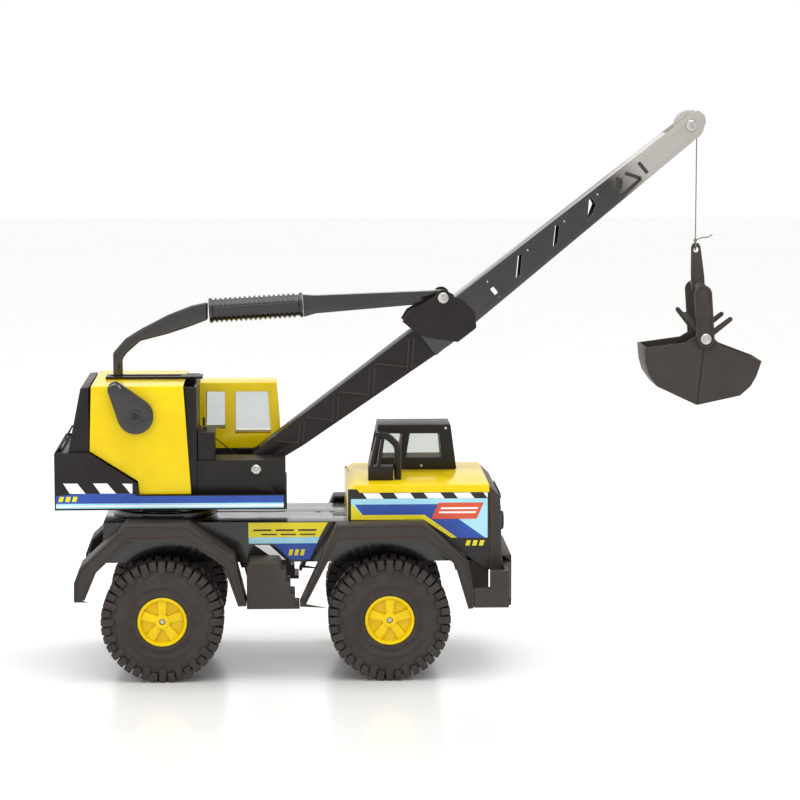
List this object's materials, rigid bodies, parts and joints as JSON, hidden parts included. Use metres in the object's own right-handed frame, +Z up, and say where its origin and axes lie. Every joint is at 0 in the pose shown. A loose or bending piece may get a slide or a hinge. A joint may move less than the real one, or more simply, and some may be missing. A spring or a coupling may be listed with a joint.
{
  "type": "toy crane truck",
  "caption": "Toy crane truck with a slewing turret, luffing lattice boom, crank winch and a clamshell bucket on a line.",
  "frame": {"origin": "on the floor, under the middle of the whole toy", "axes": "+X the way the truck drives, +Y to its left, +Z up"},
  "size_m": [0.6949, 0.212, 0.5499],
  "materials": {
    "yellow_enamel": "gloss",
    "yellow_plastic": "gloss",
    "black_enamel": "gloss",
    "black_plastic": "satin",
    "gloss_black_plastic": "gloss",
    "light_grey_plastic": "satin",
    "plated_steel": "polished",
    "tyre_vinyl": "matte",
    "window_plastic": "gloss",
    "cord": "matte"
  },
  "bodies": {
    "chassis": {"rear_axle": "plated_steel", "rear_axle_bracket": "plated_steel", "front_axle": "plated_steel", "front_axle_bracket": "plated_steel", "chassis_deck": "black_enamel", "turntable_ring": "black_plastic", "kingpin": "plated_steel", "rear_fender_right": "black_plastic", "rear_fender_left": "black_plastic", "front_fender_right": "black_plastic", "front_fender_left": "black_plastic", "side_tank_right": "black_plastic", "side_tank_left": "black_plastic", "hood": "yellow_enamel", "front_grille": "black_plastic", "front_bumper": "black_plastic", "truck_cab": "black_plastic", "truck_cab_glass": "window_plastic", "air_intake": "black_plastic"},
    "turret": {"turret_tray": "black_enamel", "turntable_disc": "black_plastic", "engine_cover": "yellow_enamel", "roof_slide_guide": "black_plastic", "counterweight": "black_plastic", "rear_hoop": "plated_steel", "front_bulkhead": "black_plastic", "boom_housing": "black_plastic", "machinery_box": "black_plastic", "boom_pivot_pin": "plated_steel", "operator_cab": "yellow_enamel", "operator_cab_glass": "window_plastic", "hoist_line_lead": "cord"},
    "winch": {"winch_drum": "plated_steel", "crank_handle": "gloss_black_plastic"},
    "boom": {"lower_boom": "black_plastic", "upper_boom": "black_enamel", "strut_bracket": "black_plastic", "strut_pin": "plated_steel", "tip_pin": "plated_steel", "hoist_line_run": "cord"},
    "sheave": {"tip_sheave": "light_grey_plastic"},
    "strut": {"strut_rear_arm": "gloss_black_plastic", "strut_grip": "black_plastic", "strut_front_arm": "gloss_black_plastic"},
    "hoist_line": {"hoist_line": "cord"},
    "line_end": {"line_knot": "cord"},
    "hanger": {"bucket_hanger": "black_plastic", "bucket_arm_right": "black_plastic", "bucket_arm_left": "black_plastic", "bucket_pin": "plated_steel"},
    "jaw_rear": {"jaw_rear": "black_plastic"},
    "jaw_front": {"jaw_front": "black_plastic"},
    "wheel_rear_right": {"tyre_rear_right": "tyre_vinyl", "rim_rear_right": "yellow_plastic"},
    "wheel_rear_left": {"tyre_rear_left": "tyre_vinyl", "rim_rear_left": "yellow_plastic"},
    "wheel_front_right": {"tyre_front_right": "tyre_vinyl", "rim_front_right": "yellow_plastic"},
    "wheel_front_left": {"tyre_front_left": "tyre_vinyl", "rim_front_left": "yellow_plastic"}
  },
  "joints": [
    {"name": "wheel_rear_right_spin", "type": "hinge", "parent": "chassis", "child": "wheel_rear_right", "pos_m": [-0.2435, -0.083, 0.0595], "axis": [0, 1, 0], "continuous": true},
    {"name": "wheel_rear_left_spin", "type": "hinge", "parent": "chassis", "child": "wheel_rear_left", "pos_m": [-0.2435, 0.083, 0.0595], "axis": [0, 1, 0], "continuous": true},
    {"name": "wheel_front_right_spin", "type": "hinge", "parent": "chassis", "child": "wheel_front_right", "pos_m": [-0.0235, -0.083, 0.0595], "axis": [0, 1, 0], "continuous": true},
    {"name": "wheel_front_left_spin", "type": "hinge", "parent": "chassis", "child": "wheel_front_left", "pos_m": [-0.0235, 0.083, 0.0595], "axis": [0, 1, 0], "continuous": true},
    {"name": "slew", "type": "hinge", "parent": "chassis", "child": "turret", "pos_m": [-0.2435, 0, 0.165], "axis": [0, 0, 1], "continuous": true},
    {"name": "luff", "type": "hinge", "parent": "turret", "child": "boom", "pos_m": [-0.1525, 0, 0.202], "axis": [0, 1, 0], "range_deg": [0, 28]},
    {"name": "strut_swivel", "type": "hinge", "parent": "boom", "child": "strut", "pos_m": [0.03233, 0, 0.36588], "axis": [0, 1, 0], "range_deg": [-10, 0]},
    {"name": "winch_spin", "type": "hinge", "parent": "turret", "child": "winch", "pos_m": [-0.2685, 0, 0.257], "axis": [0, 1, 0], "range_deg": [-1700, 400]},
    {"name": "sheave_spin", "type": "hinge", "parent": "boom", "child": "sheave", "pos_m": [0.27647, 0, 0.53494], "axis": [0, 1, 0], "range_deg": [-400, 1800]},
    {"name": "line_plumb", "type": "hinge", "parent": "boom", "child": "hoist_line", "pos_m": [0.27647, 0, 0.53494], "axis": [0, 1, 0], "range_deg": [-28, 0]},
    {"name": "hoist", "type": "slide", "parent": "hoist_line", "child": "line_end", "axis": [0, 0, 1], "range_m": [-0.24, 0.05], "deforming": ["hoist_line"]},
    {"name": "bucket_swing", "type": "hinge", "parent": "line_end", "child": "hanger", "pos_m": [0.28436, 0, 0.42094], "axis": [0, 1, 0], "range_deg": [-20, 20]},
    {"name": "jaw_rear_open", "type": "hinge", "parent": "hanger", "child": "jaw_rear", "pos_m": [0.29103, 0, 0.32567], "axis": [0, 1, 0], "range_deg": [0, 35]},
    {"name": "jaw_front_open", "type": "hinge", "parent": "hanger", "child": "jaw_front", "pos_m": [0.29103, 0, 0.32567], "axis": [0, -1, 0], "range_deg": [0, 35]}
  ],
  "couplings": [
    {"joint": "strut_swivel", "follows": "luff", "ratio": -0.34},
    {"joint": "line_plumb", "follows": "luff", "ratio": -1},
    {"joint": "winch_spin", "follows": "hoist", "rad_per_m": 116.28},
    {"joint": "sheave_spin", "follows": "hoist", "rad_per_m": -126.58},
    {"joint": "jaw_front_open", "follows": "jaw_rear_open", "ratio": 1}
  ]
}
